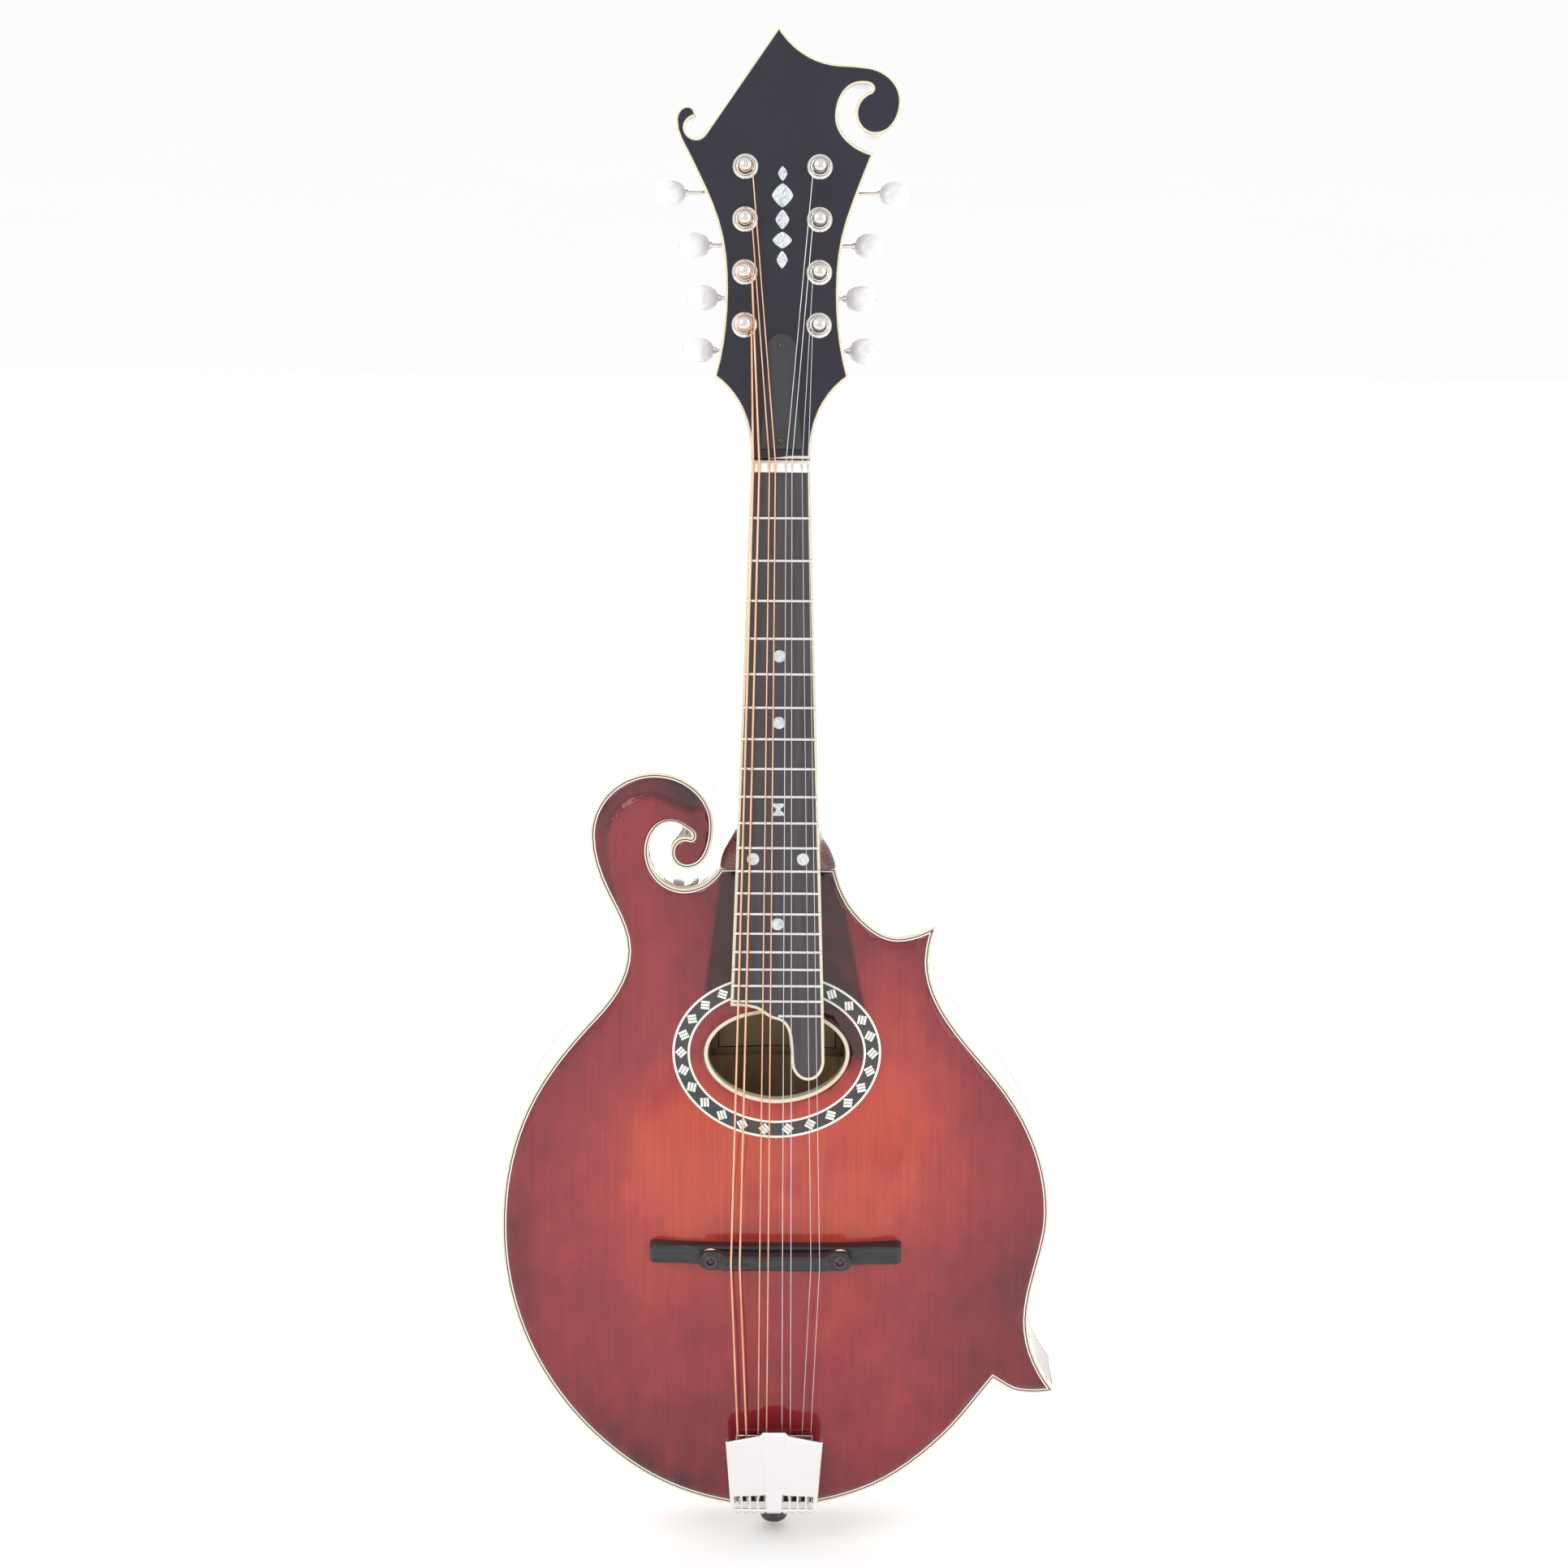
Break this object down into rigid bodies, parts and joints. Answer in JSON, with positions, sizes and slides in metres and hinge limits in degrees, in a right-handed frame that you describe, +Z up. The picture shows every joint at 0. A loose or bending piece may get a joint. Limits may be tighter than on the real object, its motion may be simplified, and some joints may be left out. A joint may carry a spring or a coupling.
{
  "type": "mandolin",
  "caption": "Carved mandolin with an oval soundhole, a scroll, geared tuners whose buttons turn the string posts, a height-adjustable bridge and a sliding tailpiece cover.",
  "frame": {"origin": "middle of the end pin's outer face, on the centre line and half way through the depth of the ribs", "axes": "+Z up the centre line to the headstock, -Y the playing side, +X the treble side"},
  "size_m": [0.252, 0.1055, 0.6876],
  "materials": {
    "stained_spruce": "gloss lacquer over red-brown stain",
    "stained_maple": "gloss lacquer over dark red-brown stain",
    "bare_wood": "bare, unfinished",
    "rosette_black": "black band with pearl squares, lacquered",
    "ebony": "oiled",
    "ivory_binding": "ivory celluloid, lacquered",
    "bone": "polished bone",
    "headplate_black": "black, lacquered",
    "nickel": "polished nickel",
    "steel": "plain steel",
    "plain_string": "plain steel wire",
    "wound_string": "bronze wound wire",
    "pearloid": "white pearloid",
    "black_pin": "black, polished"
  },
  "bodies": {
    "body": {"top_plate": "stained_spruce", "back_plate": "stained_maple", "rosette": "rosette_black", "soundhole_binding": "ivory_binding", "top_binding": "ivory_binding", "back_binding": "ivory_binding", "rib_bass": "stained_maple", "rib_cutaway": "stained_maple", "rib_waist": "stained_maple", "rib_tail": "stained_maple", "head_block": "bare_wood", "tail_block": "bare_wood", "point_block_upper": "bare_wood", "point_block_lower": "stained_maple", "lining_top_bass": "bare_wood", "lining_top_treble": "bare_wood", "lining_back_bass": "bare_wood", "lining_back_treble": "bare_wood", "tone_bar": "bare_wood", "neck": "stained_maple", "truss_rod": "steel", "fretboard": "ebony", "fretboard_binding": "ivory_binding", "nut": "bone", "headplate": "headplate_black", "head_binding": "ivory_binding", "truss_cover": "headplate_black", "tuner_plate_bass": "nickel", "tuner_plate_treble": "nickel", "bridge_base": "ebony", "tailpiece_base": "nickel", "end_pin": "black_pin", "string_g_low": "wound_string", "string_g_high": "wound_string", "string_d_low": "wound_string", "string_d_high": "wound_string", "string_a_low": "plain_string", "string_a_high": "plain_string", "string_e_low": "plain_string", "string_e_high": "plain_string"},
    "saddle": {"bridge_saddle": "ebony"},
    "wheel_bass": {"bridge_wheel_bass": "nickel"},
    "wheel_treble": {"bridge_wheel_treble": "nickel"},
    "tail_cover": {"tailpiece_cover": "nickel"},
    "button_bass_1": {"tuner_button_bass_1": "pearloid"},
    "post_bass_1": {"tuner_post_bass_1": "nickel"},
    "button_bass_2": {"tuner_button_bass_2": "pearloid"},
    "post_bass_2": {"tuner_post_bass_2": "nickel"},
    "button_bass_3": {"tuner_button_bass_3": "pearloid"},
    "post_bass_3": {"tuner_post_bass_3": "nickel"},
    "button_bass_4": {"tuner_button_bass_4": "pearloid"},
    "post_bass_4": {"tuner_post_bass_4": "nickel"},
    "button_treble_1": {"tuner_button_treble_1": "pearloid"},
    "post_treble_1": {"tuner_post_treble_1": "nickel"},
    "button_treble_2": {"tuner_button_treble_2": "pearloid"},
    "post_treble_2": {"tuner_post_treble_2": "nickel"},
    "button_treble_3": {"tuner_button_treble_3": "pearloid"},
    "post_treble_3": {"tuner_post_treble_3": "nickel"},
    "button_treble_4": {"tuner_button_treble_4": "pearloid"},
    "post_treble_4": {"tuner_post_treble_4": "nickel"}
  },
  "joints": [
    {"name": "saddle_height", "type": "slide", "parent": "body", "child": "saddle", "axis": [0, -1, 0], "range_m": [-0.0012, 0.0015], "deforming": ["string_g_low", "string_g_high", "string_d_low", "string_d_high", "string_a_low", "string_a_high", "string_e_low", "string_e_high"]},
    {"name": "wheel_bass_turn", "type": "hinge", "parent": "saddle", "child": "wheel_bass", "pos_m": [-0.029, -0.04345, 0.14673], "axis": [0, -1, 0], "range_deg": [-619, 773]},
    {"name": "wheel_treble_turn", "type": "hinge", "parent": "saddle", "child": "wheel_treble", "pos_m": [0.029, -0.04345, 0.14673], "axis": [0, -1, 0], "range_deg": [-619, 773]},
    {"name": "tail_cover_slide", "type": "slide", "parent": "body", "child": "tail_cover", "axis": [0, -0.1994, 0.9799], "range_m": [0, 0.025]},
    {"name": "button_bass_1_turn", "type": "hinge", "parent": "body", "child": "button_bass_1", "pos_m": [-0.0162, 0.01651, 0.54767], "axis": [1, 0, 0], "continuous": true},
    {"name": "post_bass_1_turn", "type": "hinge", "parent": "body", "child": "post_bass_1", "pos_m": [-0.0162, 0.00039, 0.56165], "axis": [0, -0.9613, 0.2756], "continuous": true},
    {"name": "button_bass_2_turn", "type": "hinge", "parent": "body", "child": "button_bass_2", "pos_m": [-0.0162, 0.02285, 0.56978], "axis": [1, 0, 0], "continuous": true},
    {"name": "post_bass_2_turn", "type": "hinge", "parent": "body", "child": "post_bass_2", "pos_m": [-0.0162, 0.00673, 0.58376], "axis": [0, -0.9613, 0.2756], "continuous": true},
    {"name": "button_bass_3_turn", "type": "hinge", "parent": "body", "child": "button_bass_3", "pos_m": [-0.0162, 0.02919, 0.59189], "axis": [1, 0, 0], "continuous": true},
    {"name": "post_bass_3_turn", "type": "hinge", "parent": "body", "child": "post_bass_3", "pos_m": [-0.0162, 0.01307, 0.60587], "axis": [0, -0.9613, 0.2756], "continuous": true},
    {"name": "button_bass_4_turn", "type": "hinge", "parent": "body", "child": "button_bass_4", "pos_m": [-0.0162, 0.03553, 0.61399], "axis": [1, 0, 0], "continuous": true},
    {"name": "post_bass_4_turn", "type": "hinge", "parent": "body", "child": "post_bass_4", "pos_m": [-0.0162, 0.01941, 0.62798], "axis": [0, -0.9613, 0.2756], "continuous": true},
    {"name": "button_treble_1_turn", "type": "hinge", "parent": "body", "child": "button_treble_1", "pos_m": [0.0162, 0.01651, 0.54767], "axis": [1, 0, 0], "continuous": true},
    {"name": "post_treble_1_turn", "type": "hinge", "parent": "body", "child": "post_treble_1", "pos_m": [0.0162, 0.00039, 0.56165], "axis": [0, -0.9613, 0.2756], "continuous": true},
    {"name": "button_treble_2_turn", "type": "hinge", "parent": "body", "child": "button_treble_2", "pos_m": [0.0162, 0.02285, 0.56978], "axis": [1, 0, 0], "continuous": true},
    {"name": "post_treble_2_turn", "type": "hinge", "parent": "body", "child": "post_treble_2", "pos_m": [0.0162, 0.00673, 0.58376], "axis": [0, -0.9613, 0.2756], "continuous": true},
    {"name": "button_treble_3_turn", "type": "hinge", "parent": "body", "child": "button_treble_3", "pos_m": [0.0162, 0.02919, 0.59189], "axis": [1, 0, 0], "continuous": true},
    {"name": "post_treble_3_turn", "type": "hinge", "parent": "body", "child": "post_treble_3", "pos_m": [0.0162, 0.01307, 0.60587], "axis": [0, -0.9613, 0.2756], "continuous": true},
    {"name": "button_treble_4_turn", "type": "hinge", "parent": "body", "child": "button_treble_4", "pos_m": [0.0162, 0.03553, 0.61399], "axis": [1, 0, 0], "continuous": true},
    {"name": "post_treble_4_turn", "type": "hinge", "parent": "body", "child": "post_treble_4", "pos_m": [0.0162, 0.01941, 0.62798], "axis": [0, -0.9613, 0.2756], "continuous": true}
  ],
  "couplings": [
    {"joint": "wheel_bass_turn", "follows": "saddle_height", "rad_per_m": 8976},
    {"joint": "wheel_treble_turn", "follows": "saddle_height", "rad_per_m": 8976},
    {"joint": "post_bass_1_turn", "follows": "button_bass_1_turn", "ratio": -0.0625},
    {"joint": "post_bass_2_turn", "follows": "button_bass_2_turn", "ratio": -0.0625},
    {"joint": "post_bass_3_turn", "follows": "button_bass_3_turn", "ratio": -0.0625},
    {"joint": "post_bass_4_turn", "follows": "button_bass_4_turn", "ratio": -0.0625},
    {"joint": "post_treble_1_turn", "follows": "button_treble_1_turn", "ratio": -0.0625},
    {"joint": "post_treble_2_turn", "follows": "button_treble_2_turn", "ratio": -0.0625},
    {"joint": "post_treble_3_turn", "follows": "button_treble_3_turn", "ratio": -0.0625},
    {"joint": "post_treble_4_turn", "follows": "button_treble_4_turn", "ratio": -0.0625}
  ]
}
